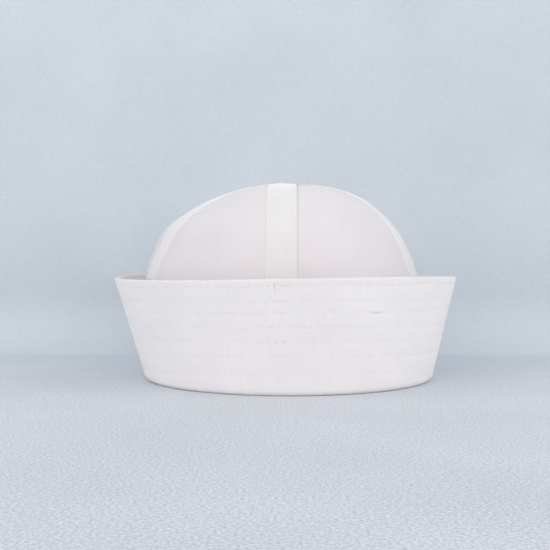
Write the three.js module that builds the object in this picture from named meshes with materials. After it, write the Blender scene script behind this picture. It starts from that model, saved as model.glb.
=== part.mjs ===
// A white cotton sailor cap: a domed crown of four gores with bands over their seams, standing in an
// upright, flared brim of several layers of cloth. Millimetres, +Z up. The front faces -Y and +X is on the
// right, and the origin lies on the surface that the cap rests on, below the middle of the brim's top edge.

import * as THREE from 'three';
import { mergeVertices } from 'three/addons/utils/BufferGeometryUtils.js';

// Driving sizes of the brim. Half widths are measured along X, and half depths, along Y, are depthExtra more.
// The base sits baseShift to the right of the top edge, which waves up and down twice on its way round.
const brimHeight = 70.5;
const brimBaseHalfWidth = 99;
const brimTopHalfWidth = 118;
const brimThickness = 2.5;
const headOpeningHalfWidth = 92;
const depthExtra = 4.5;
const baseShift = 2.3;
const rimWave = { size: 1.2, highAt: THREE.MathUtils.degToRad(-60) };
const brimColumns = 72;

// The brim's cut section is a U: the wall stands outside, the hem inside, and the crown's lower edge is held
// between them, over the channel's floor. The wall's lower corner is rounded and its top edge is a fold.
const footRound = { inset: 2.2, height: 2.4 };
const wallHeights = [16, 30, 44, 58];
const foldHeight = 1.8;
const hem = { height: 15.6, thickness: 1.2, edgeHeight: 0.6, footInset: 1 };
const channel = { floor: 1.4, rise: 4, slack: 0.3 };

// Driving sizes of the crown. The layers are counted inwards from the bands' outer face.
const bandWidth = 20;
const bandThickness = 1.1;
const clothThickness = 1.2;
const gap = 0.3;
const crownDepthRatio = 1.047;
const goreColumns = 12;
const bandColumns = 4;
const stepsPerSection = 2;
const stepsPerCorner = 3; // extra rows of facets where a band nears its end or the peak
const leastRowStep = 0.01;

// The bands' outer face, one row for each level section, from the lower edge up to the peak. The left and
// right half widths are measured from the front-to-back seam, which lies at x = seam. The roundness of the
// front and back ends, and of the left and right sides, is 2 on an ellipse, and lower towards a sharp crease.
// A side seam lies ahead of the side's crease by leftAhead or rightAhead times the half depth.
const crownSections = [
  // height, left, right, seam, ends, leftSide, rightSide, leftAhead, rightAhead
  [2.0, 96.5, 96.5, 2.3, 2.0, 2.0, 2.0, 0.18, 0.18],
  [24.0, 96.2, 96.2, 2.2, 2.0, 2.0, 2.0, 0.20, 0.18],
  [47.0, 95.1, 95.2, 0.3, 1.95, 1.75, 1.75, 0.23, 0.20],
  [70.0, 96.0, 94.9, -2.0, 1.95, 1.45, 1.5, 0.26, 0.20],
  [88.5, 90.0, 88.6, -2.0, 1.95, 1.4, 1.42, 0.29, 0.19],
  [104.0, 81.7, 79.0, -2.0, 1.95, 1.4, 1.42, 0.31, 0.15],
  [117.0, 64.0, 66.3, -2.0, 1.95, 1.42, 1.45, 0.31, 0.12],
  [126.6, 42.6, 51.4, -2.0, 1.95, 1.5, 1.55, 0.29, 0.09],
  [132.3, 18.5, 31.2, -2.0, 1.95, 1.6, 1.6, 0.26, 0.07],
  [134.4, 0.0, 0.0, -2.0, 1.95, 1.7, 1.7, 0.22, 0.06],
].map(([height, left, right, seam, ends, leftSide, rightSide, leftAhead, rightAhead]) => (
  { height, left, right, seam, ends, leftSide, rightSide, leftAhead, rightAhead }));
const peakSection = crownSections.length - 1;

const crownCloth = { color: 0xeae5e8, roughness: 0.92, metalness: 0 };
const bandCloth = { color: 0xf1eff0, roughness: 0.9, metalness: 0 };
const brimCloth = { color: 0xece9ec, roughness: 0.9, metalness: 0 };

// Closed walls of cloth

// Merges shared corners, drops triangles that a pole has collapsed, and turns all faces outwards.
function closedGeometry(points, triangles) {
  const raw = new THREE.BufferGeometry().setFromPoints(points);
  raw.setIndex(triangles.flat());
  const merged = mergeVertices(raw, 1e-4);
  const index = merged.getIndex().array;
  const position = merged.getAttribute('position');
  const corner = (i) => new THREE.Vector3().fromBufferAttribute(position, i);
  const kept = [];
  let volume = 0;
  for (let i = 0; i < index.length; i += 3) {
    const [a, b, c] = index.slice(i, i + 3);
    if (a === b || b === c || c === a) continue;
    kept.push([a, b, c]);
    volume += corner(a).dot(corner(b).cross(corner(c)));
  }
  merged.setIndex(kept.flatMap(([a, b, c]) => (volume > 0 ? [a, b, c] : [a, c, b])));
  merged.computeVertexNormals();
  return merged;
}

// The two triangles of a four-sided facet, given its corners in order.
function facet(a, b, c, d) {
  return [[a, b, c], [a, c, d]];
}

// A sheet with an outside and an inside face on the same grid, and walls along its four edges.
function sheetGeometry(rowCount, columnCount, pointAt) {
  const points = [];
  const at = (face, row, column) => (face * (rowCount + 1) + row) * (columnCount + 1) + column;
  for (const face of [0, 1]) {
    for (let row = 0; row <= rowCount; row += 1) {
      for (let column = 0; column <= columnCount; column += 1) points.push(pointAt(row, column, face));
    }
  }
  const triangles = [];
  for (let row = 0; row < rowCount; row += 1) {
    for (let column = 0; column < columnCount; column += 1) {
      const cell = [[row, column], [row, column + 1], [row + 1, column + 1], [row + 1, column]];
      triangles.push(...facet(...cell.map(([r, c]) => at(0, r, c))));
      triangles.push(...facet(...cell.map(([r, c]) => at(1, r, c)).reverse()));
    }
  }
  for (let row = 0; row < rowCount; row += 1) {
    triangles.push(...facet(at(0, row, 0), at(0, row + 1, 0), at(1, row + 1, 0), at(1, row, 0)));
    const c = columnCount;
    triangles.push(...facet(at(0, row, c), at(1, row, c), at(1, row + 1, c), at(0, row + 1, c)));
  }
  for (let column = 0; column < columnCount; column += 1) {
    triangles.push(...facet(at(0, 0, column), at(1, 0, column), at(1, 0, column + 1), at(0, 0, column + 1)));
    const r = rowCount;
    triangles.push(...facet(at(0, r, column), at(0, r, column + 1), at(1, r, column + 1), at(1, r, column)));
  }
  return closedGeometry(points, triangles);
}

// A closed cut section carried once round.
function ringGeometry(sectionCount, columnCount, pointAt) {
  const points = [];
  for (let column = 0; column < columnCount; column += 1) {
    for (let place = 0; place < sectionCount; place += 1) points.push(pointAt(place, column));
  }
  const at = (place, column) => (column % columnCount) * sectionCount + (place % sectionCount);
  const triangles = [];
  for (let column = 0; column < columnCount; column += 1) {
    for (let place = 0; place < sectionCount; place += 1) {
      triangles.push(...facet(at(place, column), at(place, column + 1), at(place + 1, column + 1),
        at(place + 1, column)));
    }
  }
  return closedGeometry(points, triangles);
}

function piece(name, geometry, cloth) {
  const mesh = new THREE.Mesh(geometry, new THREE.MeshStandardMaterial(cloth));
  mesh.name = name;
  return mesh;
}

// Crown

// One column of the section table at a place from 0, the lower edge, to 1, the peak, on a Catmull-Rom
// spline. The profile runs on over the peak onto the other side, so that it is level there.
function crownColumn(column, place) {
  const opposite = { left: 'right', right: 'left' };
  const valueAt = (row) => {
    if (row <= peakSection) return crownSections[Math.max(row, 0)][column];
    const mirrored = crownSections[2 * peakSection - row];
    return column in opposite ? -mirrored[opposite[column]] : mirrored[column];
  };
  const along = place * peakSection;
  const row = Math.min(Math.floor(along), peakSection - 1);
  const t = along - row;
  const [before, start, end, after] = [row - 1, row, row + 1, row + 2].map(valueAt);
  const startSlope = (end - before) / 2;
  const endSlope = (after - start) / 2;
  return start + t * startSlope
    + t * t * (3 * (end - start) - 2 * startSlope - endSlope)
    + t * t * t * (2 * (start - end) + startSlope + endSlope);
}

// A level section of a layer that lies `inset` inside the bands' outer face, square to that face.
function crownSection(place, inset) {
  const halfWidthAt = (p) => (crownColumn('left', p) + crownColumn('right', p)) / 2;
  const step = 1e-4;
  const low = Math.max(place - step, 0);
  const high = Math.min(place + step, 1);
  const rise = crownColumn('height', high) - crownColumn('height', low);
  const closing = place === 1 ? 1 : halfWidthAt(low) - halfWidthAt(high);
  const slope = new THREE.Vector2(place === 1 ? 0 : rise, closing).normalize();
  const sideways = inset * slope.x;
  return {
    left: crownColumn('left', place) - sideways,
    right: crownColumn('right', place) - sideways,
    depth: crownDepthRatio * halfWidthAt(place) - sideways,
    height: crownColumn('height', place) - inset * slope.y,
    seam: crownColumn('seam', place),
    ends: crownColumn('ends', place),
    leftSide: crownColumn('leftSide', place),
    rightSide: crownColumn('rightSide', place),
    leftAhead: crownColumn('leftAhead', place),
    rightAhead: crownColumn('rightAhead', place),
  };
}

// The half width of a section on one side, -1 left or 1 right, its roundness, and the y of its side seam.
function sideOf(section, side) {
  return side < 0
    ? { halfWidth: section.left, roundness: section.leftSide, seamY: -section.leftAhead * section.depth }
    : { halfWidth: section.right, roundness: section.rightSide, seamY: -section.rightAhead * section.depth };
}

// A point of the outline |x / halfWidth| ^ ends + |y / depth| ^ roundness = 1 on one side, -1 left or 1 right.
// The turn runs from a negative right angle on the front seam, through 0 on the side's crease, to a right
// angle on the back seam.
function crownPoint(section, side, turn) {
  const { halfWidth, roundness } = sideOf(section, side);
  return new THREE.Vector3(
    section.seam + side * halfWidth * Math.max(Math.cos(turn), 0) ** (2 / section.ends),
    Math.sign(turn) * section.depth * Math.abs(Math.sin(turn)) ** (2 / roundness),
    section.height,
  );
}

// The turn where the outline crosses a level line at y, and the turn behind the crease where it comes to a
// distance of `width` from the front-to-back seam.
function turnAtDepth(section, side, y) {
  const share = Math.min(Math.abs(y) / section.depth, 1);
  return Math.sign(y) * Math.asin(share ** (sideOf(section, side).roundness / 2));
}

function turnAtWidth(section, side, width) {
  return Math.acos(Math.min(width / sideOf(section, side).halfWidth, 1) ** (section.ends / 2));
}

// The turn of a side band's edge, half a band's width from its seam towards an end, -1 front or 1 back.
function turnAtBandEdge(section, side, end) {
  const seamTurn = turnAtDepth(section, side, sideOf(section, side).seamY);
  const middle = crownPoint(section, side, seamTurn);
  let near = seamTurn;
  let far = (end * Math.PI) / 2;
  for (let halving = 0; halving < 40; halving += 1) {
    const turn = (near + far) / 2;
    if (crownPoint(section, side, turn).distanceTo(middle) < bandWidth / 2) near = turn;
    else far = turn;
  }
  return near;
}

// The place up the crown where a measure that shrinks towards the peak falls to nothing.
function placeWhere(measure) {
  let low = 0;
  let high = 1;
  for (let halving = 0; halving < 40; halving += 1) {
    const middle = (low + high) / 2;
    if (measure(middle) > 0) low = middle;
    else high = middle;
  }
  return low;
}

const evenPlaces = Array.from(
  { length: peakSection * stepsPerSection + 1 },
  (_, i) => i / (peakSection * stepsPerSection),
);

// One quarter of the crown, which meets its neighbours under the middle of the bands.
function crownGore(name, side, end) {
  const faces = [bandThickness + gap, bandThickness + gap + clothThickness];
  const rowCount = evenPlaces.length - 1;
  const geometry = sheetGeometry(rowCount, goreColumns, (row, column, face) => {
    const section = crownSection(evenPlaces[row], faces[face]);
    if (row === rowCount) {
      return new THREE.Vector3(section.seam + side * gap / 2, end * gap / 2, section.height);
    }
    const from = turnAtDepth(section, side, sideOf(section, side).seamY + end * gap / 2);
    const to = end * turnAtWidth(section, side, gap / 2);
    return crownPoint(section, side, THREE.MathUtils.lerp(from, to, column / goreColumns));
  });
  return piece(name, geometry, crownCloth);
}

// The rows of a band's facets: the gores' own rows, then a few more to each of the marked places.
function bandRows(marks) {
  const rows = evenPlaces.filter((place) => place < marks[0] - leastRowStep);
  for (const mark of marks) {
    const start = rows.at(-1);
    for (let step = 1; step <= stepsPerCorner; step += 1) {
      rows.push(THREE.MathUtils.lerp(start, mark, step / stepsPerCorner));
    }
  }
  return rows;
}

// The long band, which runs up the front seam, over the peak and down the back seam. Its rows of facets
// follow the level sections up to where its edges come near the peak, and one row lies straight across it.
function longBand(name) {
  const faces = [0, bandThickness];
  const rowsOf = faces.map((inset) => {
    const corner = placeWhere((place) => {
      const section = crownSection(place, inset);
      return Math.min(section.left, section.right) - bandWidth / 2;
    });
    return bandRows([corner]).slice(0, -1);
  });
  const middle = rowsOf[0].length;
  const geometry = sheetGeometry(2 * middle, bandColumns, (row, column, face) => {
    const inset = faces[face];
    const offset = 2 * column / bandColumns - 1;
    const side = offset < 0 ? -1 : 1;
    if (row === middle) {
      const reach = Math.abs(offset) * bandWidth / 2;
      const place = offset === 0 ? 1
        : placeWhere((p) => sideOf(crownSection(p, inset), side).halfWidth - reach);
      const section = crownSection(place, inset);
      return new THREE.Vector3(section.seam + side * reach, 0, section.height);
    }
    const section = crownSection(rowsOf[face][row < middle ? row : 2 * middle - row], inset);
    const edge = turnAtWidth(section, side, bandWidth / 2);
    const turn = THREE.MathUtils.lerp(Math.PI / 2, edge, Math.abs(offset));
    return crownPoint(section, side, row < middle ? -turn : turn);
  });
  return piece(name, geometry, bandCloth);
}

// A side band, which runs up its seam and stops square against the long band's edge. Its front edge comes to
// the long band first, then its back edge.
function sideBand(name, side) {
  const faces = [0, bandThickness];
  const stop = bandWidth / 2 + gap;
  const edgeOf = (section, end) => {
    const edge = end * turnAtBandEdge(section, side, end);
    return end * Math.min(edge, turnAtWidth(section, side, stop));
  };
  const rowsOf = faces.map((inset) => {
    const corners = [-1, 1].map((end) => placeWhere((place) => {
      const section = crownSection(place, inset);
      return turnAtWidth(section, side, stop) - end * turnAtBandEdge(section, side, end);
    }));
    const finish = placeWhere((place) => sideOf(crownSection(place, inset), side).halfWidth - stop);
    return bandRows([...corners, finish]);
  });
  const rowCount = Math.min(...rowsOf.map((rows) => rows.length)) - 1;
  const geometry = sheetGeometry(rowCount, bandColumns, (row, column, face) => {
    const section = crownSection(rowsOf[face][row], faces[face]);
    if (row === rowCount) return crownPoint(section, side, 0);
    const share = column / bandColumns;
    return crownPoint(section, side, THREE.MathUtils.lerp(edgeOf(section, -1), edgeOf(section, 1), share));
  });
  return piece(name, geometry, bandCloth);
}

// Brim

// The wall's outer face leans out in a straight line from the base to the top edge.
function wallPoint(height, inset) {
  const up = height / brimHeight;
  return {
    height,
    halfWidth: THREE.MathUtils.lerp(brimBaseHalfWidth, brimTopHalfWidth, up) - inset,
    shift: baseShift * (1 - up),
  };
}

function hemPoint(height, inset) {
  return { height, halfWidth: headOpeningHalfWidth + inset, shift: baseShift };
}

// The cut section, once round: up the wall's outside, over the folded top edge, down its inside, across the
// channel that takes the crown's edge, over the hem and back under it to the flat foot.
function brimSection() {
  const outside = wallHeights.map((height) => wallPoint(height, 0));
  const inside = wallHeights.map((height) => wallPoint(height, brimThickness)).reverse();
  return [
    wallPoint(0, footRound.inset),
    wallPoint(footRound.height / 4, footRound.inset / 3),
    wallPoint(footRound.height, 0),
    ...outside,
    wallPoint(brimHeight - foldHeight, 0),
    wallPoint(brimHeight - foldHeight / 4, brimThickness / 5),
    wallPoint(brimHeight, brimThickness / 2),
    wallPoint(brimHeight - foldHeight / 4, (4 * brimThickness) / 5),
    wallPoint(brimHeight - foldHeight, brimThickness),
    ...inside,
    wallPoint(channel.rise, brimThickness),
    wallPoint(channel.floor, brimThickness),
    hemPoint(channel.floor, hem.thickness + channel.slack),
    hemPoint(hem.height - hem.edgeHeight, hem.thickness),
    hemPoint(hem.height, hem.thickness / 2),
    hemPoint(hem.height - hem.edgeHeight, 0),
    hemPoint(hem.footInset, 0),
    hemPoint(0, hem.footInset),
  ];
}

function brim(name) {
  const section = brimSection();
  const geometry = ringGeometry(section.length, brimColumns, (place, column) => {
    const { height, halfWidth, shift } = section[place];
    const angle = (2 * Math.PI * column) / brimColumns;
    const wave = rimWave.size * Math.cos(2 * (angle - rimWave.highAt)) * (height / brimHeight) ** 2;
    return new THREE.Vector3(
      shift + halfWidth * Math.cos(angle),
      (halfWidth + depthExtra) * Math.sin(angle),
      height + wave,
    );
  });
  return piece(name, geometry, brimCloth);
}

const cap = new THREE.Group();
cap.add(crownGore('crown_gore_front_left', -1, -1));
cap.add(crownGore('crown_gore_front_right', 1, -1));
cap.add(crownGore('crown_gore_back_left', -1, 1));
cap.add(crownGore('crown_gore_back_right', 1, 1));
cap.add(longBand('crown_band_long'));
cap.add(sideBand('crown_band_left', -1));
cap.add(sideBand('crown_band_right', 1));
cap.add(brim('brim'));

export default cap;
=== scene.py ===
"""A white cotton sailor cap. A domed crown of four gores, with flat bands sewn over its seams, stands in a
stiff brim of several layers of twill, turned up all round and quilted with seven rows of stitching."""

import bpy
import numpy as np
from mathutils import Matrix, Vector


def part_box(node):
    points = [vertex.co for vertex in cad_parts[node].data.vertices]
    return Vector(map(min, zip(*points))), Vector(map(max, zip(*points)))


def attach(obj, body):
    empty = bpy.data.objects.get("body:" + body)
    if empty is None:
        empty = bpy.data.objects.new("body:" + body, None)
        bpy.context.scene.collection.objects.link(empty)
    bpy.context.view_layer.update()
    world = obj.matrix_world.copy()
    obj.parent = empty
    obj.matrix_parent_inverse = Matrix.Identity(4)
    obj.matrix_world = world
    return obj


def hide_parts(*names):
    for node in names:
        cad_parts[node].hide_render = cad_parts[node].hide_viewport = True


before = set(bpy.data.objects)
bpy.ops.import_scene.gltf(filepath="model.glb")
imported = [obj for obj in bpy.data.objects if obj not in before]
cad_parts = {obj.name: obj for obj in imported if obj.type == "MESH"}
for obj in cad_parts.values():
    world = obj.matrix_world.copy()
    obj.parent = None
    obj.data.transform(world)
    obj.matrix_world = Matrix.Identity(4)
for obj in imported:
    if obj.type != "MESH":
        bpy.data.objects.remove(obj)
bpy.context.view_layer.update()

# Crown gores
#
# Four quarters of white cotton twill, cut as curved triangles and sewn edge to edge. They swell softly
# between the seams, and the sewing pulls the cloth in beside each band. Shapes are in millimetres until
# they are meshed.

MM = 0.001

# Level sections of the crown from its lower edge to its peak, on the outer face of the bands. The half
# widths are measured left and right of the front-to-back seam. The roundness of the ends and of each side
# is 2 on an ellipse, and lower towards a crease. A side seam lies ahead of its side's crease by a share
# of the half depth.
HEIGHT, LEFT, RIGHT, SEAM, ENDS, LEFT_SIDE, RIGHT_SIDE, LEFT_AHEAD, RIGHT_AHEAD = range(9)
crown_sections = np.array([
    (2.0, 96.5, 96.5, 2.3, 2.0, 2.0, 2.0, 0.18, 0.18),
    (24.0, 96.2, 96.2, 2.2, 2.0, 2.0, 2.0, 0.20, 0.18),
    (47.0, 95.1, 95.2, 0.3, 1.95, 1.75, 1.75, 0.23, 0.20),
    (70.0, 96.0, 94.9, -2.0, 1.95, 1.45, 1.5, 0.26, 0.20),
    (88.5, 90.0, 88.6, -2.0, 1.95, 1.4, 1.42, 0.29, 0.19),
    (104.0, 81.7, 79.0, -2.0, 1.95, 1.4, 1.42, 0.31, 0.15),
    (117.0, 64.0, 66.3, -2.0, 1.95, 1.42, 1.45, 0.31, 0.12),
    (126.6, 42.6, 51.4, -2.0, 1.95, 1.5, 1.55, 0.29, 0.09),
    (132.3, 18.5, 31.2, -2.0, 1.95, 1.6, 1.6, 0.26, 0.07),
    (134.4, 0.0, 0.0, -2.0, 1.95, 1.7, 1.7, 0.22, 0.06),
])
crown_sections[:, HEIGHT] *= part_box("crown_band_long")[1].z / MM / crown_sections[-1, HEIGHT]
crown_depth_ratio = 1.047
band_width = 20.0

gore_outside = 0.72  # how far the gores' faces lie inside the outer face of the bands
gore_inside = 1.55
gore_rows = 126
gore_columns = 96
gore_top = 0.9995  # the gores end a hair short of the peak, under the bands
seam_gap = 0.05
gore_hollow = {"depth": 0.03, "reach": 5.0}  # where the sewing holds the cloth in beside a band
right_hollow = {"extra": 0.3, "reach": 20.0}  # deeper to the right of the long band
gore_colour = (0.748, 0.709, 0.739)
gore_fuzz = 0.4
shaded_share = 0.91  # how light the weave's darker colour is, as a share of the cloth's: painted shade between the wales and beads, and the yarns' own tone

past_peak = crown_sections[-2].copy()
past_peak[[LEFT, RIGHT]] = -past_peak[[RIGHT, LEFT]]
spline_rows = np.vstack([crown_sections[:1], crown_sections, past_peak])


def crown_column(column, place):
    """One column of the table at places from 0, the lower edge, to 1, the peak. Between two rows it is the
    cubic whose slope at each row is half the step between that row's neighbours."""
    along = np.clip(place, 0, 1) * (len(crown_sections) - 1)
    row = np.minimum(along.astype(int), len(crown_sections) - 2)
    t = along - row
    before, start, end, after = (spline_rows[row + k, column] for k in range(4))
    rise, slope, end_slope = end - start, (end - before) / 2, (after - start) / 2
    return start + t * (slope + t * (3 * rise - 2 * slope - end_slope + t * (slope + end_slope - 2 * rise)))


def crown_side(place, on_left):
    """The half width, the roundness and the y of the side seam at places on the left or the right side."""
    half_width, roundness, ahead = (
        np.where(on_left, crown_column(left, place), crown_column(right, place))
        for left, right in ((LEFT, RIGHT), (LEFT_SIDE, RIGHT_SIDE), (LEFT_AHEAD, RIGHT_AHEAD)))
    return half_width, roundness, -ahead * crown_depth(place)


def crown_depth(place):
    """The half depth, front to back, in step with the mean of the two half widths."""
    return crown_depth_ratio * (crown_column(LEFT, place) + crown_column(RIGHT, place)) / 2


def crown_point(place, side, turn):
    """The outer face at places on one side, -1 left or 1 right. The turn runs from a negative right angle
    on the front seam, through 0 on the side's crease, to a right angle on the back seam. With m the
    roundness of the ends and n that of the side, x is the half width times cos(turn) ^ (2 / m), out from
    the seam, and y the half depth times sin(turn) ^ (2 / n)."""
    half_width, roundness, _ = crown_side(place, side < 0)
    out = np.clip(np.cos(turn), 0, 1) ** (2 / crown_column(ENDS, place))
    back = np.sign(turn) * np.abs(np.sin(turn)) ** (2 / roundness)
    return np.stack(np.broadcast_arrays(
        crown_column(SEAM, place) + side * half_width * out, crown_depth(place) * back,
        crown_column(HEIGHT, place)), -1)


def side_seam_turn(place, side):
    """The turn at which a section crosses its side seam."""
    _, roundness, seam_y = crown_side(place, side < 0)
    return -np.arcsin((-seam_y / np.maximum(crown_depth(place), 1e-6)) ** (roundness / 2))


def face_normals(points):
    """Unit normals of a grid of points, from the cross product of its steps across and up."""
    up, across = np.gradient(points, axis=(0, 1))
    normals = np.cross(across, up)
    return normals / np.linalg.norm(normals, axis=-1, keepdims=True)


def waves(points, length, seed):
    """Soft unevenness between about -1 and 1: the sum of twelve sine waves of about the given length, whose
    directions and phases are drawn from the seed."""
    draw = np.random.default_rng(seed)
    directions = draw.normal(size=(12, 3))
    lengths = length * draw.uniform(0.7, 1.4, (12, 1))
    directions /= np.linalg.norm(directions, axis=1, keepdims=True) * lengths
    return np.sin(2 * np.pi * (points @ directions.T + draw.uniform(0, 1, 12))).sum(-1) / 7


def crown_softness(points):
    """How far the whole crown, bands and all, swells or sinks from its even shape."""
    return 0.4 * waves(points, 95, 11) + 0.12 * waves(points, 38, 12)


def gore_relief(points):
    """The crown's softness, less a shallow hollow and small puckers where the cloth is held along a band.
    Both fade with the distance from the nearer band's edge. The hollow is deepest to the right of the
    long band."""
    place = np.interp(points[..., 2], crown_sections[:, HEIGHT], np.linspace(0, 1, len(crown_sections)))
    from_seam = points[..., 0] - crown_column(SEAM, place)
    _, _, seam_y = crown_side(place, from_seam < 0)
    nearer = np.minimum(np.abs(from_seam), 1.1 * np.abs(points[..., 1] - seam_y))
    off_band = np.maximum(nearer - band_width / 2, 0)
    on_right = (from_seam > 0) & (from_seam < right_hollow["reach"])
    hollow = gore_hollow["depth"] + right_hollow["extra"] * on_right
    hollow = hollow * np.exp(-(off_band / gore_hollow["reach"]) ** 2)
    puckers = 0.1 * np.exp(-off_band / 6) * np.minimum(waves(points, 6.5, 13), 0.4)
    return crown_softness(points) - hollow + puckers + 0.04 * waves(points, 14, 14)


def loft_faces(rows, places, joined):
    """Four-sided faces over rows of closed loops with `places` points each. If joined, the last row meets
    the first; otherwise rungs between a loop's first and second half close each end. Also gives the same
    corners counted without a join, for maps that run on past the last row."""
    row = np.arange(rows if joined else rows - 1)[:, None]
    place = np.arange(places)
    after = (place + 1) % places
    spots = [(row, place), (row, after), (row + 1, after), (row + 1, place)]
    sides = np.stack([r * places + p for r, p in spots], -1).reshape(-1, 4)
    if joined:
        return sides % (rows * places), sides
    rung = np.arange(places // 2 - 1)
    end = np.stack([rung, places - 1 - rung, places - 2 - rung, rung + 1], -1)
    faces = np.concatenate([sides, end, end[:, ::-1] + (rows - 1) * places])
    return faces, faces


def loft(name, loops, cloth_map, material, joined=False):
    """A mesh object over an array of closed loops, [row, place, xyz] or [copy, row, place, xyz], in mm.
    The map has the same shape with two numbers a point, and one more row if joined. Faces are turned
    outwards."""
    loops = loops.reshape(-1, *loops.shape[-3:])
    cloth_map = cloth_map.reshape(-1, *cloth_map.shape[-3:])
    copies, rows, places = loops.shape[:3]
    faces, map_faces = loft_faces(rows, places, joined)
    copy = np.arange(copies)[:, None, None]
    faces = (faces + copy * rows * places).reshape(-1, 4)
    map_faces = (map_faces + copy * cloth_map.shape[1] * places).reshape(-1, 4)
    points = loops.reshape(-1, 3) * MM
    a, b, c, d = (points[faces[:, k]] for k in range(4))
    if np.einsum("ij,ij->", a, np.cross(b, c) + np.cross(c, d)) < 0:
        faces, map_faces = faces[:, ::-1], map_faces[:, ::-1]
    mesh = bpy.data.meshes.new(name)
    mesh.from_pydata(points, [], faces)
    mesh.uv_layers.new(name="cloth").data.foreach_set("uv", cloth_map.reshape(-1, 2)[map_faces].ravel())
    mesh.shade_smooth()
    mesh.materials.append(material)
    made = bpy.data.objects.new(name, mesh)
    bpy.context.scene.collection.objects.link(made)
    return made


def add_node(tree, kind, inputs, **settings):
    """A node of this kind. Each input is a number, a colour or another node's output, by socket name or
    number."""
    node = tree.nodes.new(kind)
    for setting, value in settings.items():
        setattr(node, setting, value)
    for socket, value in inputs.items():
        if isinstance(value, bpy.types.NodeSocket):
            tree.links.new(value, node.inputs[socket])
        else:
            node.inputs[socket].default_value = value
    return node


def new_group(name, inputs, outputs):
    """An empty node group and its two end nodes. Sockets are given as (name, kind)."""
    tree = bpy.data.node_groups.new(name, "ShaderNodeTree")
    for way, sockets in (("INPUT", inputs), ("OUTPUT", outputs)):
        for socket, kind in sockets:
            tree.interface.new_socket(socket, in_out=way, socket_type="NodeSocket" + kind)
    return tree, tree.nodes.new("NodeGroupInput"), tree.nodes.new("NodeGroupOutput")


def twill_group():
    """Cotton twill. The height has fine slanting wales, beaded where the yarns cross, over thicker and
    thinner yarns that run up and across the cloth. The colour has painted shade between the wales and
    beads, and its own tone follows the yarns and a broad, cloudy unevenness."""
    tree, given, result = new_group(
        "cotton twill",
        [("Cloth", "Vector"), ("Place", "Vector"), ("Colour", "Color"), ("Shaded", "Color")],
        [("Colour", "Color"), ("Height", "Float")])
    cloth = given.outputs["Cloth"]
    waver = add_node(tree, "ShaderNodeTexNoise", {"Vector": cloth, "Scale": 0.3, "Detail": 2.0})
    wale_way = add_node(
        tree, "ShaderNodeVectorMath", {0: cloth, 1: (9.2, -4.6, 0)}, operation="DOT_PRODUCT")
    wale_phase = add_node(
        tree, "ShaderNodeMath", {0: waver.outputs[0], 1: 5.0, 2: wale_way.outputs["Value"]},
        operation="MULTIPLY_ADD")
    wale = add_node(tree, "ShaderNodeMath", {0: wale_phase.outputs[0]}, operation="SINE")
    bead_way = add_node(
        tree, "ShaderNodeVectorMath", {0: cloth, 1: (3.1, 12.4, 0)}, operation="DOT_PRODUCT")
    bead = add_node(tree, "ShaderNodeMath", {0: bead_way.outputs["Value"]}, operation="SINE")
    beads = add_node(tree, "ShaderNodeMath", {0: wale.outputs[0], 1: bead.outputs[0]}, operation="MULTIPLY")
    up_scale = add_node(tree, "ShaderNodeVectorMath", {0: cloth, 1: (0.75, 0.05, 1)}, operation="MULTIPLY")
    up_yarns = add_node(
        tree, "ShaderNodeTexNoise", {"Vector": up_scale.outputs[0], "Scale": 1.0, "Detail": 3.0})
    cross_scale = add_node(
        tree, "ShaderNodeVectorMath", {0: cloth, 1: (0.05, 0.9, 1)}, operation="MULTIPLY")
    cross_yarns = add_node(
        tree, "ShaderNodeTexNoise", {"Vector": cross_scale.outputs[0], "Scale": 1.0, "Detail": 3.0})
    clouds = add_node(tree, "ShaderNodeTexNoise",
                      {"Vector": given.outputs["Place"], "Scale": 22.0, "Detail": 4.0, "Roughness": 0.6})
    height = add_node(tree, "ShaderNodeMath", {0: wale.outputs[0], 1: 0.16, 2: up_yarns.outputs[0]},
                      operation="MULTIPLY_ADD")
    height = add_node(tree, "ShaderNodeMath", {0: beads.outputs[0], 1: 0.08, 2: height.outputs[0]},
                      operation="MULTIPLY_ADD")
    height = add_node(tree, "ShaderNodeMath", {0: cross_yarns.outputs[0], 1: 0.4, 2: height.outputs[0]},
                      operation="MULTIPLY_ADD")
    shade = add_node(tree, "ShaderNodeMath", {0: up_yarns.outputs[0], 1: 0.5, 2: clouds.outputs[0]},
                     operation="MULTIPLY_ADD")
    # Painted shade between the wales and at the beads.
    shade = add_node(tree, "ShaderNodeMath", {0: wale.outputs[0], 1: -0.25, 2: shade.outputs[0]},
                     operation="MULTIPLY_ADD")
    shade = add_node(tree, "ShaderNodeMath", {0: beads.outputs[0], 1: -0.15, 2: shade.outputs[0]},
                     operation="MULTIPLY_ADD")
    share = add_node(
        tree, "ShaderNodeMapRange", {"Value": shade.outputs[0], "From Min": 0.45, "From Max": 1.05})
    colour = add_node(tree, "ShaderNodeMix",
                      {0: share.outputs[0], 6: given.outputs["Colour"], 7: given.outputs["Shaded"]},
                      data_type="RGBA")
    tree.links.new(colour.outputs[2], result.inputs["Colour"])
    tree.links.new(height.outputs[0], result.inputs["Height"])
    return tree


twill = twill_group()


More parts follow.
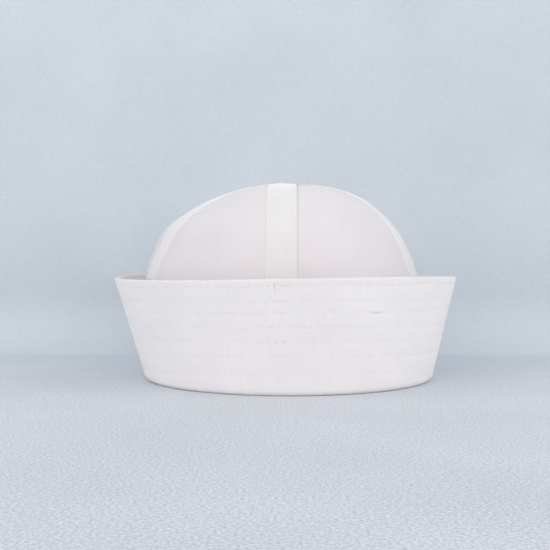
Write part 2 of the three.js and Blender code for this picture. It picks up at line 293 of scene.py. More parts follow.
def twill_material(name, colour, fuzz):
    """White twill: matt, with a soft fuzz at glancing angles. Its shaded colour is a little darker."""
    material = bpy.data.materials.new(name)
    material.use_nodes = True
    tree = material.node_tree
    cloth = add_node(tree, "ShaderNodeUVMap", {}, uv_map="cloth")
    place = add_node(tree, "ShaderNodeTexCoord", {})
    weave = add_node(tree, "ShaderNodeGroup", {}, node_tree=twill)
    for socket, value in (("Cloth", cloth.outputs[0]), ("Place", place.outputs["Object"])):
        tree.links.new(value, weave.inputs[socket])
    weave.inputs["Colour"].default_value = (*colour, 1)
    weave.inputs["Shaded"].default_value = (*(shaded_share * part for part in colour), 1)
    bumps = add_node(tree, "ShaderNodeBump",
                     {"Height": weave.outputs["Height"], "Distance": 0.0003, "Strength": 0.6})
    surface = tree.nodes["Principled BSDF"]
    tree.links.new(weave.outputs["Colour"], surface.inputs["Base Color"])
    tree.links.new(bumps.outputs[0], surface.inputs["Normal"])
    surface.inputs["Roughness"].default_value = 0.92
    surface.inputs["Specular IOR Level"].default_value = 0.25
    surface.inputs["Sheen Weight"].default_value = fuzz
    surface.inputs["Sheen Roughness"].default_value = 0.4
    return material


def shell_loops(outside, inside):
    """Loops that run across a sheet's outer face and back across its inner face, one for each row."""
    return np.concatenate([outside, inside[:, ::-1]], axis=1)


gore_cloth = twill_material("gore twill", gore_colour, gore_fuzz)


def crown_gore(name, side, end):
    """A quarter of the crown, side -1 left or 1 right and end -1 front or 1 back: the outer face and the
    inner face lie square inside the crown's shape, over places up the crown and turns from the side seam
    to the front or back seam."""
    place = np.linspace(0, gore_top, gore_rows + 1)[:, None]
    share = np.linspace(0, 1, gore_columns + 1)
    if side * end < 0:
        share = share[::-1]
    seam_turn = side_seam_turn(place, side)
    shape = crown_point(place, side, seam_turn + (end * np.pi / 2 - seam_turn) * share)
    normals = face_normals(shape)
    relief = gore_relief(shape)[..., None]
    apart = seam_gap * np.array([side, end, 0])
    outside = shape - (gore_outside - relief) * normals + apart
    inside = shape - (gore_inside - relief) * normals + apart
    up = np.cumsum(np.linalg.norm(np.diff(shape, axis=0, prepend=shape[:1]), axis=-1).mean(1))
    reach = np.linalg.norm(shape[:, 0, :2] - shape[:, -1, :2], axis=-1)
    cloth_map = np.stack(np.broadcast_arrays(reach[:, None] * 1.1 * (share - 0.5), up[:, None]), -1)
    gore = loft(
        f"{name}_cloth", shell_loops(outside, inside), shell_loops(cloth_map, cloth_map), gore_cloth)
    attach(gore, "root")
    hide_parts(name)


for end, end_name in ((-1, "front"), (1, "back")):
    for side, side_name in ((-1, "left"), (1, "right")):
        crown_gore(f"crown_gore_{end_name}_{side_name}", side, end)

# Crown bands
#
# Strips of the same twill, folded under at both edges, cover the seams. One runs from the front over the
# peak to the back, and one on each side stops against it. Two rows of stitching hold each band.

band_underside = 0.68  # inside the even shape, a hair off the gores
band_thickness = 0.45
band_edge_round = 1.6
band_puff = 0.1
band_row = 8.1  # from the band's middle to each row of stitching
band_groove = {"depth": 0.06, "width": 0.5}
band_rows_apart = 1.1
band_colour = (0.747, 0.734, 0.745)
side_band_lit_colour = (0.805, 0.783, 0.802)  # painted light: the side bands are made whiter than the long band, for light on their glancing faces
band_fuzz = 1.0

band_half_section = np.array([0, 2, 4, 6, 7, 7.5, 7.8, 8.1, 8.4, 8.7, 9.1, 9.4, 9.65, 9.85, 9.96, 10.0])
band_offsets = np.concatenate([-band_half_section[:0:-1], band_half_section])

fine_places = np.linspace(0, 1, 4001)
fine_heights = crown_column(HEIGHT, fine_places)


def outside_crown(points):
    """Above 0 where a point is outside the crown's even shape, and below 0 inside it."""
    place = np.interp(points[..., 2], fine_heights, fine_places)
    from_seam = points[..., 0] - crown_column(SEAM, place)
    half_width, roundness, _ = crown_side(place, from_seam < 0)
    value = (np.abs(from_seam) / np.maximum(half_width, 1e-3)) ** crown_column(ENDS, place)
    value += (np.abs(points[..., 1]) / np.maximum(crown_depth(place), 1e-3)) ** roundness
    return np.where(points[..., 2] >= fine_heights[-1], 1.0, value - 1)


def band_shape(middle, across, offsets):
    """Points beside a band's middle line, at offsets along `across`, dropped onto the crown's even shape.
    Each slides along the middle line's own normal, and halving the way finds where it meets the shape."""
    along = np.gradient(middle, axis=0)
    normals = np.cross(across, along)
    normals /= np.linalg.norm(normals, axis=1, keepdims=True)
    start = middle[:, None] + offsets[:, None] * across[:, None]
    low = np.full(start.shape[:2], -16.0)
    high = np.full(start.shape[:2], 3.0)
    for _ in range(40):
        half = (low + high) / 2
        out = outside_crown(start + half[..., None] * normals[:, None]) > 0
        low, high = np.where(out, low, half), np.where(out, half, high)
    return start + low[..., None] * normals[:, None]


def along_line(line, spots, values):
    """The values that go with a line's points, at given distances along the line."""
    reach = np.concatenate([[0], np.cumsum(np.linalg.norm(np.diff(line, axis=0), axis=1))])
    return np.stack([np.interp(spots, reach, values[:, k]) for k in range(values.shape[1])], -1)


def line_length(line):
    """The sum of the steps along a line."""
    return np.linalg.norm(np.diff(line, axis=0), axis=1).sum()


def evenly(line, step, values):
    """The values that go with a line's points, at even distances along it about one step apart."""
    return along_line(line, np.linspace(0, line_length(line), round(line_length(line) / step) + 1), values)


def band_height(offsets):
    """The band's outer face over its underside: full between the folded edges, which are quarter ellipses,
    with a groove under each row of stitching and a slight puff between the rows."""
    from_edge = np.clip((np.abs(offsets) - band_width / 2 + band_edge_round) / band_edge_round, 0, 1)
    groove = band_groove["depth"] * np.exp(-((np.abs(offsets) - band_row) / band_groove["width"]) ** 2)
    puff = band_puff * np.clip(1 - (offsets / band_row) ** 2, 0, 1)
    return band_thickness * np.sqrt(1 - from_edge ** 2) - groove + puff


def band_faces(shape, offsets):
    """The outer face, the underside and the normals of a band whose even shape is known. The outer face
    takes the crown's softness and small puckers along its rows of stitching."""
    normals = face_normals(shape)
    softness = crown_softness(shape)
    near_row = np.exp(-np.abs(np.abs(offsets) - band_row) / 2.5)
    edge = np.abs(offsets) < band_width / 2
    puckers = edge * (0.05 * near_row * waves(shape, 5.5, 21) + 0.04 * waves(shape, 17, 22))
    rise = band_height(offsets) + puckers
    underside = shape + (softness - band_underside)[..., None] * normals
    return underside + rise[..., None] * normals, underside, normals


band_cloth = twill_material("band twill", band_colour, band_fuzz)
# A lighter copy of the band twill, with painted light, for the side bands.
side_band_lit_cloth = twill_material("side band twill", side_band_lit_colour, band_fuzz)

thread_radius = 0.2
stitch_pitch = 3.0
stitch_sink = 0.3  # how deep a stitch's ends go into the cloth
stitch_lift = -0.1  # how far its middle line stands over the cloth, which it is pressed into
stitch_sides = 6
thread_colour = (0.85, 0.83, 0.845)
ply_groove_shade = 0.93  # how light the painted shade between the thread's plies is, as a share of its colour


def thread_material(name, colour):
    """Two-ply cotton thread: the plies wind round each stitch as slanting ridges, with painted shade
    between them."""
    material = bpy.data.materials.new(name)
    material.use_nodes = True
    tree = material.node_tree
    cloth = add_node(tree, "ShaderNodeUVMap", {}, uv_map="cloth")
    ply_way = add_node(tree, "ShaderNodeVectorMath", {0: cloth.outputs[0], 1: (9.0, 12.566, 0)},
                       operation="DOT_PRODUCT")
    ply = add_node(tree, "ShaderNodeMath", {0: ply_way.outputs["Value"]}, operation="SINE")
    ridge = add_node(tree, "ShaderNodeMapRange", {"Value": ply.outputs[0], "From Min": -1.0})
    between = tuple(ply_groove_shade * part for part in colour)
    tone = add_node(tree, "ShaderNodeMix", {0: ridge.outputs[0], 6: (*between, 1), 7: (*colour, 1)},
                    data_type="RGBA")
    bumps = add_node(tree, "ShaderNodeBump", {"Height": ridge.outputs[0], "Distance": 0.00008})
    surface = tree.nodes["Principled BSDF"]
    tree.links.new(tone.outputs[2], surface.inputs["Base Color"])
    tree.links.new(bumps.outputs[0], surface.inputs["Normal"])
    surface.inputs["Roughness"].default_value = 0.7
    return material


thread = thread_material("cotton thread", thread_colour)


def stitch_loops(line, normals):
    """Loops of points for a row of stitches along a line. A stitch is a round thread that comes up
    through the cloth, arches over it for most of a pitch and goes down again, so both its ends are sunk
    and thinner."""
    length = line_length(line)
    count = int(length / stitch_pitch)
    step = length / count
    share = np.array([0.04, 0.14, 0.32, 0.5, 0.68, 0.86, 0.96])
    arch = np.array([
        -stitch_sink, 0, stitch_lift, stitch_lift * 1.3, stitch_lift, 0, -stitch_sink])
    radius = thread_radius * np.array([0.6, 0.9, 1, 1, 1, 0.9, 0.6])
    spots = (np.arange(count)[:, None] + share) * step
    middle = along_line(line, spots.ravel(), line).reshape(count, -1, 3)
    up = along_line(line, spots.ravel(), normals).reshape(count, -1, 3)
    up /= np.linalg.norm(up, axis=-1, keepdims=True)
    forward = np.gradient(middle, axis=1)
    forward /= np.linalg.norm(forward, axis=-1, keepdims=True)
    beside = np.cross(forward, up)
    turn = 2 * np.pi * np.arange(stitch_sides) / stitch_sides
    ring = np.cos(turn)[:, None] * beside[..., None, :] + np.sin(turn)[:, None] * up[..., None, :]
    loops = middle[..., None, :] + arch[:, None, None] * up[..., None, :] + radius[:, None, None] * ring
    thread_map = np.stack(np.broadcast_arrays(turn / (2 * np.pi), (share * step)[:, None]), -1)
    thread_map = np.broadcast_to(thread_map, loops.shape[:-1] + (2,))
    return loops, thread_map


def stitching(name, rows):
    """One object that holds all the given rows of stitches."""
    loops, maps = (np.concatenate(arrays) for arrays in zip(*rows))
    made = loft(name, loops, maps, thread)
    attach(made, "root")
    return made


def crown_band(name, line, across, material):
    """A band along its middle line, with the rows of stitching that show on it and inside the crown."""
    middle, across = evenly(line, band_rows_apart, line), evenly(line, band_rows_apart, across)
    shape = band_shape(middle, across, band_offsets)
    outside, underside, normals = band_faces(shape, band_offsets)
    up = np.concatenate([[0], np.cumsum(np.linalg.norm(np.diff(middle, axis=0), axis=1))])
    cloth_map = np.stack(np.broadcast_arrays(band_offsets, up[:, None]), -1)
    band = loft(
        f"{name}_cloth", shell_loops(outside, underside), shell_loops(cloth_map, cloth_map), material)
    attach(band, "root")
    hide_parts(name)
    rows_outside, rows_inside = [], []
    for offset in (-band_row, band_row):
        column = np.argmin(np.abs(band_offsets - offset))
        rows_outside.append(stitch_loops(outside[:, column], normals[:, column]))
        lining = underside[:, column] - (gore_inside - band_underside) * normals[:, column]
        rows_inside.append(stitch_loops(lining, -normals[:, column]))
    return rows_outside, rows_inside


def side_band_line(side):
    """A side seam up to the long band's edge, and level directions across it. They are square to the seam
    low down, and turn towards straight ahead near its end, where the band meets the long one edge to
    edge."""
    place = np.linspace(0, 1, 900)
    turn = side_seam_turn(place, side)
    line = crown_point(place, side, turn)
    level = crown_point(place, side, turn + 0.02) - crown_point(place, side, turn - 0.02)
    kept = side * (line[:, 0] - line[-1, 0]) >= band_width / 2 + 0.1
    line, level = line[kept], level[kept]
    along = np.gradient(line, axis=0)
    along /= np.linalg.norm(along, axis=1, keepdims=True)
    across = level / np.linalg.norm(level, axis=1, keepdims=True)
    across -= (across * along).sum(1, keepdims=True) * along
    share = np.clip(1 - side * (line[:, :1] - line[-1, 0]) / 25, 0, 1)
    across = (1 - share) * across + share * (0, 1, 0)
    return line, side * across / np.linalg.norm(across, axis=1, keepdims=True)


upward = np.linspace(0, 1, 600)
front_line = crown_point(upward, 1, np.full_like(upward, -np.pi / 2))
long_line = np.concatenate([front_line, front_line[-2::-1] * (1, -1, 1)])
shown, hidden = crown_band("crown_band_long", long_line, np.array([1.0, 0, 0]) + 0 * long_line, band_cloth)
for side, side_name in ((-1, "left"), (1, "right")):
    rows = crown_band(f"crown_band_{side_name}", *side_band_line(side), side_band_lit_cloth)
    shown += rows[0]
    hidden += rows[1]
stitching("crown_band_stitches", shown)
stitching("crown_lining_stitches", hidden)

# Brim
#
# A stiff strip of twill in several layers, folded at its lower edge and at its top, and quilted with seven
# rows of stitching. It leans out all round and its two ends are joined a little left of the front.

brim_height = 70.5
base_half_width = 99.0
top_half_width = 118.0
depth_extra = 4.5  # the half depth is this much more than the half width
base_shift = 2.3
brim_reach = 108.5  # from the middle to the wall, half way up
rim_wave = {"size": 1.2, "high_at": np.radians(-60)}
brim_thickness = 2.5
brim_lean = np.arctan2(top_half_width - base_half_width, brim_height)
foot_round = {"inset": 2.4, "height": 3.6}
rim_fold = 1.8
rim_painted_shade = 0.4  # painted shade that dims the folded top edge, where it faces the light from above

row_heights = np.array([13.6, 24.4, 33.6, 41.7, 50.5, 57.2, 66.2])  # at the front
row_droop = 6.0  # the rows sit lower at the sides, the lowest ones most
row_wander = 0.45
row_shade_strengths = np.array([0.15, 0.2, 0.25, 0.2, 0.25, 0.25, 0.65])  # how much painted shade the needle holes get
right_end_shade = 0.4  # and how much more they do at the right end
brim_groove = {"depth": 0.06, "width": 0.7}
brim_puff = 0.1
join_angle = -np.arccos((-5.7 - base_shift / 2) / brim_reach)  # the join lies 5.7 left of the middle
join_groove = {"depth": 0.08, "width": 0.6}
brim_columns = 540
brim_colour = (0.885, 0.858, 0.874)
brim_fuzz = 0.15
painted_shade_colour = (0.36, 0.32, 0.35)  # painted shade in needle holes, at knots and pulled threads, and on the top fold
painted_shade_share = 0.5
outer_seed, inner_seed = 41, 51  # for the unevenness of the wall's two faces

# Painted shade at knots and pulled stitches near the brim's join, on rows counted from the lowest: the
# distance to the right of the join, the half width and half height of the mark, and how dark it is.
knots = [  # row, offset, half width, half height, darkness
    (6, -2.5, 0.8, 0.35, 1.0), (6, 1.4, 0.35, 2.0, 0.9), (6, 5.6, 0.8, 0.4, 1.0),
    (5, -4.2, 0.6, 0.5, 0.5), (5, 4.6, 4.2, 0.4, 0.45), (5, 18.0, 0.9, 0.5, 0.4),
    (4, 0.5, 0.6, 0.5, 0.5), (4, 4.1, 0.5, 0.5, 0.4), (4, 34.0, 2.4, 0.4, 0.4),
    (3, -1.8, 0.6, 0.5, 0.65), (3, 2.9, 0.7, 0.5, 0.6), (3, 17.6, 3.0, 0.4, 0.45),
    (2, -8.5, 1.4, 0.4, 0.4), (2, -4.1, 0.6, 0.4, 0.4), (2, 0.5, 0.6, 0.5, 0.7), (2, 5.7, 1.0, 0.5, 0.7),
    (1, -1.9, 0.6, 0.5, 0.5), (1, 3.1, 0.7, 0.5, 0.5), (0, -2.1, 0.6, 0.5, 0.4), (0, 4.0, 0.6, 0.5, 0.5),
]
# The pinch's depth is in the wall's shape, and its darkness is painted shade in the pucker.
pinch = {"row": 4, "x": 54.0, "half_length": 3.2, "half_height": 0.45, "depth": 0.35, "darkness": 0.8}


def wall_point(height, inset, angle):
    """The brim's leaning wall at a height, at an angle from +X and at a distance inside its outer face. Its
    half width grows evenly with the height, and the higher it is the more the top edge's wave lifts it."""
    up = height / brim_height
    half_width = base_half_width + (top_half_width - base_half_width) * up - inset
    wave = rim_wave["size"] * np.cos(2 * (angle - rim_wave["high_at"])) * up ** 2
    return np.stack(np.broadcast_arrays(
        base_shift * (1 - up) + half_width * np.cos(angle),
        (half_width + depth_extra) * np.sin(angle),
        height + wave), -1)


def wall_normal(angle):
    """The outward normal of the leaning wall."""
    outward = np.stack([np.cos(angle), np.sin(angle), np.full_like(angle, -np.tan(brim_lean))], -1)
    return outward / np.linalg.norm(outward, axis=-1, keepdims=True)


def row_height(row, angle):
    """The height of one row of stitching round the brim: level at the front, lower at the sides, and never
    quite straight, by a few long waves whose phases are drawn for each row."""
    draw = np.random.default_rng(31 + row)
    wander = sum(np.sin(turns * angle + draw.uniform(0, 2 * np.pi)) / 2 for turns in (3, 5, 8, 13))
    droop = row_droop * (1 - row_heights[row] / brim_height) * np.cos(angle) ** 2
    return row_heights[row] - droop + row_wander * wander


def off_rows(height, angle):
    """How far each point is from each row of stitching, up the wall."""
    rows = np.stack(np.broadcast_arrays(*(row_height(row, angle) for row in range(len(row_heights)))), -1)
    return height[..., None] - rows


def turned(angle, start):
    """The turn from a start to an angle, between half a turn back and half a turn on."""
    return (angle - start + np.pi) % (2 * np.pi) - np.pi


def pinched(height, angle):
    """1 in the middle of the pinch, where one row caught the cloth, and nothing a little way along and
    above it."""
    at = -np.arccos((pinch["x"] - base_shift / 2) / brim_reach)
    beside = turned(angle, at) * brim_reach / pinch["half_length"]
    above = off_rows(height, angle)[..., pinch["row"]] / pinch["half_height"]
    return np.exp(-beside ** 4 - above ** 2)


def wall_relief(height, angle, seed):
    """How far a face of the wall stands proud of its even shape: a puff between the rows of stitching, a
    groove along each row, puckers that fade away from the rows, and broad unevenness."""
    off_row = np.abs(off_rows(height, angle)).min(-1)
    points = wall_point(height, 0, angle)
    groove = brim_groove["depth"] * np.exp(-(off_row / brim_groove["width"]) ** 2)
    puff = brim_puff * (1 + 0.8 * np.clip(np.cos(angle), 0, 1) ** 2) * (1 - np.exp(-(off_row / 2.6) ** 2))
    puckers = 0.06 * np.exp(-off_row / 3) * waves(points, 6, seed)
    broad = 0.28 * waves(points, 90, seed + 1) + 0.07 * waves(points, 24, seed + 2)
    return puff - groove + puckers + broad - pinch["depth"] * pinched(height, angle)


def stitch_painted_shade(height, angle):
    """The painted shade of the needle holes and pulled threads, from 0 to 1, as two arrays. One holds the
    rows: most in the top row and at the right end, and uneven along each. The other holds the knots, the
    pinch and painted shade on the folded top edge."""
    off = off_rows(height, angle)
    points = wall_point(height, 0, angle)
    strength = row_shade_strengths[np.abs(off).argmin(-1)]
    strength = strength + right_end_shade * np.clip(np.cos(angle) - 0.55, 0, 0.3) / 0.3
    along = np.exp(-(np.abs(off).min(-1) / 0.5) ** 2) * strength
    along = along * np.clip(0.6 + 0.6 * waves(points, 30, 45), 0, 1)
    beside = turned(angle, join_angle) * brim_reach
    spots = np.zeros_like(height)
    for row, offset, wide, tall, dark in knots:
        apart = ((beside - offset) / wide) ** 2 + (off[..., row] / tall) ** 2
        spots = np.maximum(spots, dark * np.exp(-apart))
    painted_rim_shade = rim_painted_shade * np.clip((height - brim_height + rim_fold) / rim_fold, 0, 1)
    spots = spots + painted_rim_shade + pinch["darkness"] * pinched(height, angle)
    return np.clip(along, 0, 1), np.clip(spots, 0, 1)


def wall_levels(angle, fractions):
    """Heights up the straight of the wall for each angle: between one row of stitching and the next, and
    below the first and above the last, they divide the way at the same fractions."""
    rows = [row_height(row, angle) for row in range(len(row_heights))]
    marks = [np.full_like(angle, foot_round["height"]), *rows, np.full_like(angle, brim_height - rim_fold)]
    levels = [low + (high - low) * share for low, high in zip(marks, marks[1:]) for share in fractions]
    return np.stack([*levels, marks[-1]], -1)


fine_steps = (0, 0.045, 0.1, 0.17, 0.28, 0.42, 0.58, 0.72, 0.83, 0.9, 0.955)
plain_steps = (0, 0.06, 0.14, 0.32, 0.5, 0.68, 0.86, 0.94)
brim_angles = np.sort(join_angle + np.concatenate([
    2 * np.pi * (np.arange(brim_columns) + 0.5) / brim_columns - np.pi, np.linspace(-0.08, 0.08, 46)]))


def brim_loops(angle):
    """Loops round the cut section of the wall: up its outer face, over the folded top edge, down its
    inner face and over the rounded foot."""
    angle = angle[:, None]
    outer = wall_levels(angle[:, 0], fine_steps)
    inner = wall_levels(angle[:, 0], plain_steps)[:, ::-1]
    off_join = turned(angle, join_angle) * brim_reach
    groove = join_groove["depth"] * np.exp(-(off_join / join_groove["width"]) ** 2)
    outer_inset = groove - wall_relief(outer, angle, outer_seed)
    inner_inset = brim_thickness + wall_relief(inner, angle, inner_seed) - groove
    over = np.linspace(0, np.pi, 10)[1:-1]
    start, end = outer_inset[:, -1:], inner_inset[:, :1]
    fold_height = brim_height - rim_fold + rim_fold * np.sin(over) + 0 * angle
    fold_inset = start + (end - start) * (1 - np.cos(over)) / 2
    under = np.linspace(0, np.pi / 2, 6)[:-1]
    foot_height = foot_round["height"] * (1 - np.cos(under)) + 0 * angle
    foot_inset = foot_round["inset"] * (1 - np.sin(under)) + outer_inset[:, :1] * np.sin(under)
    heel = np.array([[0.0, brim_thickness - 0.05]]) + 0 * angle
    heights = np.concatenate([foot_height, outer, fold_height, inner, heel[:, :1]], 1)
    insets = np.concatenate([foot_inset, outer_inset, fold_inset, inner_inset, heel[:, 1:]], 1)
    return wall_point(heights, insets, angle), heights, angle + 0 * heights


def paint(made, name, values):
    """Stores one number for each point of a mesh, for its material to read."""
    made.data.attributes.new(name, "FLOAT", "POINT").data.foreach_set("value", values.ravel())


brim_cloth = twill_material("brim twill", brim_colour, brim_fuzz)
tree = brim_cloth.node_tree
# Painted shade: needle holes along the rows, broken into dashes, and the knots, the pinch and the top fold
# mix the cloth towards a dark colour.
row_painted_shade = add_node(tree, "ShaderNodeAttribute", {}, attribute_name="row_painted_shade")
knot_painted_shade = add_node(tree, "ShaderNodeAttribute", {}, attribute_name="knot_painted_shade")
cloth = add_node(tree, "ShaderNodeUVMap", {}, uv_map="cloth")
dash_spread = add_node(tree, "ShaderNodeVectorMath", {0: cloth.outputs[0], 1: (0.42, 0.12, 1)},
                       operation="MULTIPLY")
dashes = add_node(
    tree, "ShaderNodeTexNoise", {"Vector": dash_spread.outputs[0], "Scale": 1.0, "Detail": 2.0})
dash = add_node(
    tree, "ShaderNodeMapRange", {"Value": dashes.outputs[0], "From Min": 0.52, "From Max": 0.62})
dashed = add_node(
    tree, "ShaderNodeMath", {0: dash.outputs[0], 1: row_painted_shade.outputs["Fac"]}, operation="MULTIPLY")
marks = add_node(tree, "ShaderNodeMath", {0: dashed.outputs[0], 1: knot_painted_shade.outputs["Fac"]},
                 operation="MAXIMUM")
share = add_node(tree, "ShaderNodeMath", {0: marks.outputs[0], 1: painted_shade_share}, operation="MULTIPLY")
surface = tree.nodes["Principled BSDF"]
plain = surface.inputs["Base Color"].links[0].from_socket
marked = add_node(tree, "ShaderNodeMix", {0: share.outputs[0], 6: plain, 7: (*painted_shade_colour, 1)},
                  data_type="RGBA")
tree.links.new(marked.outputs[2], surface.inputs["Base Color"])



def wrapped_map(loops, angles, reach):
    """Distances round the brim and round its section, in mm, with one more row that repeats the first."""
    section_way = np.concatenate([[0], np.cumsum(np.linalg.norm(np.diff(loops[0], axis=0), axis=1))])
    round_way = np.append(angles, angles[0] + 2 * np.pi) * reach
    return np.stack(np.broadcast_arrays(round_way[:, None], section_way), -1)


loops, loop_heights, loop_angles = brim_loops(brim_angles)
brim = loft("brim_wall", loops, wrapped_map(loops, brim_angles, brim_reach), brim_cloth, joined=True)
along_rows, at_knots = stitch_painted_shade(loop_heights, loop_angles)
paint(brim, "row_painted_shade", along_rows)
paint(brim, "knot_painted_shade", at_knots)
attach(brim, "root")
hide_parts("brim")

once_round = join_angle + np.linspace(0, 2 * np.pi, 2401)
normals = wall_normal(once_round)
outer_rows, inner_rows = [], []
for row in range(len(row_heights)):
    height = row_height(row, once_round)
    outer_line = wall_point(height, -wall_relief(height, once_round, outer_seed), once_round)
    inner_inset = brim_thickness + wall_relief(height, once_round, inner_seed)
    inner_line = wall_point(height, inner_inset, once_round)
    outer_rows.append(stitch_loops(outer_line, normals))
    inner_rows.append(stitch_loops(inner_line, -normals))
stitching("brim_stitches_outside", outer_rows)
stitching("brim_stitches_inside", inner_rows)

# Hem
#
# The brim's lower edge turns in under the crown and up inside it, as a narrow folded strip with one row of
# stitching that holds the crown's edge between it and the wall.

head_half_width = 92.0
hem_height = 15.6
hem_thickness = 1.2
hem_floor = 1.4
hem_row = 12.6
hem_groove = {"depth": 0.2, "width": 0.6}
hem_angles = np.linspace(0, 2 * np.pi, 420, endpoint=False)


def hem_point(height, inset, angle):
    """The hem's upright, at a height and at a distance outside the head opening."""
    half_width = head_half_width + inset
    return np.stack(np.broadcast_arrays(
        base_shift + half_width * np.cos(angle), (half_width + depth_extra) * np.sin(angle), height), -1)


def hem_loops(angle):
    """Loops round the hem's cut section: a flat floor that reaches out to the wall's foot, the upright's
    outer face, its folded top edge, and its inner face down to a rounded foot."""
    angle = angle[:, None]
    over = np.linspace(0, np.pi, 9)
    under = np.linspace(0, np.pi / 2, 6)
    reach = base_half_width - head_half_width - brim_thickness - 0.05
    rise = np.array([4, 7, 10, 11.6, 12.1, 12.6, 13.1, 13.6])
    half = hem_thickness / 2
    section = np.array([
        (0.0, reach), (hem_floor, reach),
        (hem_floor, hem_thickness + 0.3), (hem_floor + 0.3, hem_thickness),
        *((height, hem_thickness) for height in rise),
        *zip(hem_height - half + half * np.sin(over), half + half * np.cos(over)),
        *((height, 0.0) for height in rise[::-1]),
        *zip(1 - np.sin(under), 1 - np.cos(under)),
    ])
    heights, insets = section[:, 0], section[:, 1]
    points = hem_point(heights + 0 * angle, insets, angle)
    upright = np.clip((heights - 2) / 6, 0, 1)
    groove = hem_groove["depth"] * np.exp(-((heights - hem_row) / hem_groove["width"]) ** 2)
    groove = groove * np.where(insets < half, 1, -1)
    wave = upright * (0.25 * waves(points, 40, 61) + 0.06 * waves(points, 6, 62))
    return hem_point(heights + 0 * angle, insets + groove + wave, angle)


loops = hem_loops(hem_angles)
hem = loft("brim_hem", loops, wrapped_map(loops, hem_angles, head_half_width), brim_cloth, joined=True)
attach(hem, "root")
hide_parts("brim")

hem_round = np.linspace(0, 2 * np.pi, 2001)
hem_line = hem_point(np.full_like(hem_round, hem_row), hem_groove["depth"], hem_round)
inward = -np.stack([np.cos(hem_round), np.sin(hem_round), 0 * hem_round], -1)
stitching("brim_hem_stitches", [stitch_loops(hem_line, inward)])

# Studio
#
# A pale cloth sweep that lies flat under the cap and curves up close behind it. A soft glow comes from all
# round at the height of the eye, with a faint large light at the right and two high ones over the cap.

sweep_half_width = 6.0
sweep_front = -6.0
sweep_turn = 0.135
sweep_radius = 0.05
sweep_top = 4.0
floor_colour = (0.622, 0.65, 0.699)
wall_colour = (0.563, 0.615, 0.671)
floor_end = -0.11  # from here to the cove, the floor's colour passes into the wall's
cove_painted_shade = 0.05  # painted shade: how much darker the cloth is made in the cove

turning = np.linspace(0, np.pi / 2, 24)
profile = np.concatenate([
    [(sweep_front, 0)],
    np.stack([sweep_turn + sweep_radius * np.sin(turning), sweep_radius * (1 - np.cos(turning))], -1),
    [(sweep_turn + sweep_radius, sweep_top)],
])


def backdrop(name, profile):
    """A wide strip over a profile of y and z, a hair below the cap."""
    sides = np.array([-sweep_half_width, sweep_half_width])
    corners = np.stack(np.broadcast_arrays(sides, profile[:, :1], profile[:, 1:] - 0.00005), -1)
    mesh = bpy.data.meshes.new(name)
    step = 2 * np.arange(len(profile) - 1)[:, None]
    mesh.from_pydata(corners.reshape(-1, 3), [], step + [0, 1, 3, 2])
    mesh.shade_smooth()
    made = bpy.data.objects.new(name, mesh)
    bpy.context.scene.collection.objects.link(made)
    return made


sweep = backdrop("sweep", profile)
floor_behind = backdrop("floor_behind", np.array([(sweep_turn, -0.0001), (-sweep_front, -0.0001)]))

material = bpy.data.materials.new("pale cloth")
material.use_nodes = True
tree = material.node_tree
place = add_node(tree, "ShaderNodeTexCoord", {})
clouds = add_node(
    tree, "ShaderNodeTexNoise", {"Vector": place.outputs["Object"], "Scale": 9.0, "Detail": 5.0})
parts = add_node(tree, "ShaderNodeSeparateXYZ", {0: place.outputs["Object"]})
behind = add_node(tree, "ShaderNodeMapRange",
                  {"Value": parts.outputs["Y"], "From Min": floor_end, "From Max": sweep_turn})
base = add_node(tree, "ShaderNodeMix",
                {0: behind.outputs[0], 6: (*floor_colour, 1), 7: (*wall_colour, 1)}, data_type="RGBA")
grain = add_node(
    tree, "ShaderNodeTexNoise", {"Vector": place.outputs["Object"], "Scale": 760.0, "Detail": 3.0})
strength = add_node(
    tree, "ShaderNodeMapRange", {"Value": behind.outputs[0], "To Min": 1.05, "To Max": 0.22})
uneven = add_node(tree, "ShaderNodeMath", {0: grain.outputs[0], 1: 0.5}, operation="SUBTRACT")
speckle = add_node(
    tree, "ShaderNodeMath", {0: uneven.outputs[0], 1: strength.outputs[0]}, operation="MULTIPLY")
speckled = add_node(tree, "ShaderNodeMath", {0: speckle.outputs[0], 1: 1.0}, operation="ADD")
cloud = add_node(
    tree, "ShaderNodeMapRange",
    {"Value": clouds.outputs[0], "From Min": 0.3, "From Max": 0.7, "To Min": 0.96, "To Max": 1.04})
# Painted shade in the cove, fading to nothing on the floor and a little way up the wall.
above_floor = add_node(
    tree, "ShaderNodeMapRange", {"Value": parts.outputs["Z"], "From Max": 0.008, "To Max": cove_painted_shade})
below_wall = add_node(
    tree, "ShaderNodeMapRange",
    {"Value": parts.outputs["Z"], "From Min": 0.03, "From Max": 0.09, "To Min": 1.0, "To Max": 0.0})
shade = add_node(
    tree, "ShaderNodeMath", {0: above_floor.outputs[0], 1: below_wall.outputs[0]}, operation="MULTIPLY")
lightness = add_node(tree, "ShaderNodeMath", {0: 1.0, 1: shade.outputs[0]}, operation="SUBTRACT")
clouded = add_node(
    tree, "ShaderNodeMath", {0: lightness.outputs[0], 1: cloud.outputs[0]}, operation="MULTIPLY")
shading = add_node(
    tree, "ShaderNodeMath", {0: speckled.outputs[0], 1: clouded.outputs[0]}, operation="MULTIPLY")
tone = add_node(tree, "ShaderNodeVectorMath", {0: base.outputs[2], "Scale": shading.outputs[0]},
                operation="SCALE")
bumps = add_node(tree, "ShaderNodeBump", {"Height": speckle.outputs[0], "Distance": 0.0005})
surface = tree.nodes["Principled BSDF"]
tree.links.new(tone.outputs[0], surface.inputs["Base Color"])
tree.links.new(bumps.outputs[0], surface.inputs["Normal"])
surface.inputs["Roughness"].default_value = 0.95
surface.inputs["Specular IOR Level"].default_value = 0.1
facing = add_node(tree, "ShaderNodeNewGeometry", {})
clear = add_node(tree, "ShaderNodeBsdfTransparent", {})
one_way = add_node(tree, "ShaderNodeMixShader",
                   {0: facing.outputs["Backfacing"], 1: surface.outputs[0], 2: clear.outputs[0]})
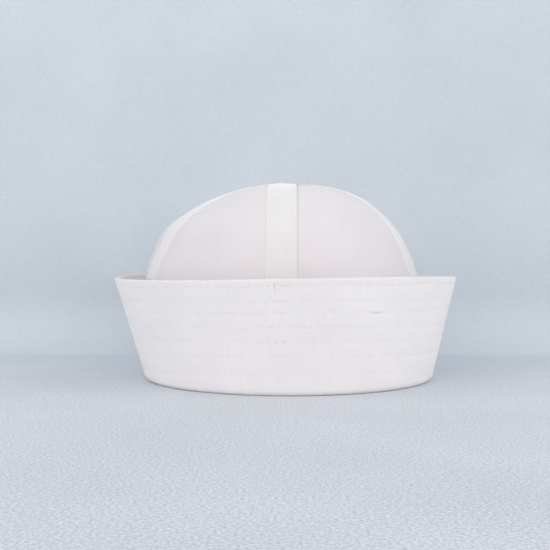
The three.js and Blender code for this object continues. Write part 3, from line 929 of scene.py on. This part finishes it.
tree.links.new(one_way.outputs[0], tree.nodes["Material Output"].inputs["Surface"])
for piece in (sweep, floor_behind):
    piece.data.materials.append(material)


lamp_colour = (1.0, 0.985, 0.98)
cap_middle = (0, 0, 0.06)


def soft_light(name, location, size, power):
    """A square area light that faces the middle of the cap."""
    light = bpy.data.lights.new(name, "AREA")
    light.size = size
    light.energy = power
    light.color = lamp_colour
    lamp = bpy.data.objects.new(name, light)
    lamp.location = location
    towards = np.array(cap_middle) - location
    lamp.rotation_euler = (
        np.arccos(-towards[2] / np.linalg.norm(towards)), 0, np.arctan2(-towards[0], towards[1]))
    bpy.context.scene.collection.objects.link(lamp)


soft_light("side", (2.3, -1.1, 0.6), 2.0, 3.0)
soft_light("high left", (-1.4, -0.25, 1.7), 1.2, 4.3)
soft_light("high right", (1.4, -0.25, 1.7), 1.2, 3.8)

glow_level = 2.17  # how strong the soft glow is at the height of the eye
glow_overhead = 0.84
glow_colour = (1.0, 0.985, 0.965)

world = bpy.data.worlds.new("studio")
world.use_nodes = True
tree = world.node_tree
look = add_node(tree, "ShaderNodeTexCoord", {})
parts = add_node(tree, "ShaderNodeSeparateXYZ", {0: look.outputs["Generated"]})
glow = add_node(
    tree, "ShaderNodeMapRange",
    {"Value": parts.outputs["Z"], "From Max": 0.7, "To Min": glow_level, "To Max": glow_overhead})
background = tree.nodes["Background"]
background.inputs["Color"].default_value = (*glow_colour, 1)
tree.links.new(glow.outputs[0], background.inputs["Strength"])
bpy.context.scene.world = world

camera_lens = 66.9
camera_place = (0.0023, -0.715, 0.086)
camera_tilt = 1.23  # degrees down from level
camera_turn = 0.75  # degrees to the left

camera = bpy.data.cameras.new("camera")
camera.lens = camera_lens
camera.clip_start = 0.01
view_point = bpy.data.objects.new("camera", camera)
view_point.location = camera_place
view_point.rotation_euler = np.radians((90 - camera_tilt, 0, camera_turn))
bpy.context.scene.collection.objects.link(view_point)
bpy.context.scene.camera = view_point
bpy.context.scene.view_settings.view_transform = "Standard"
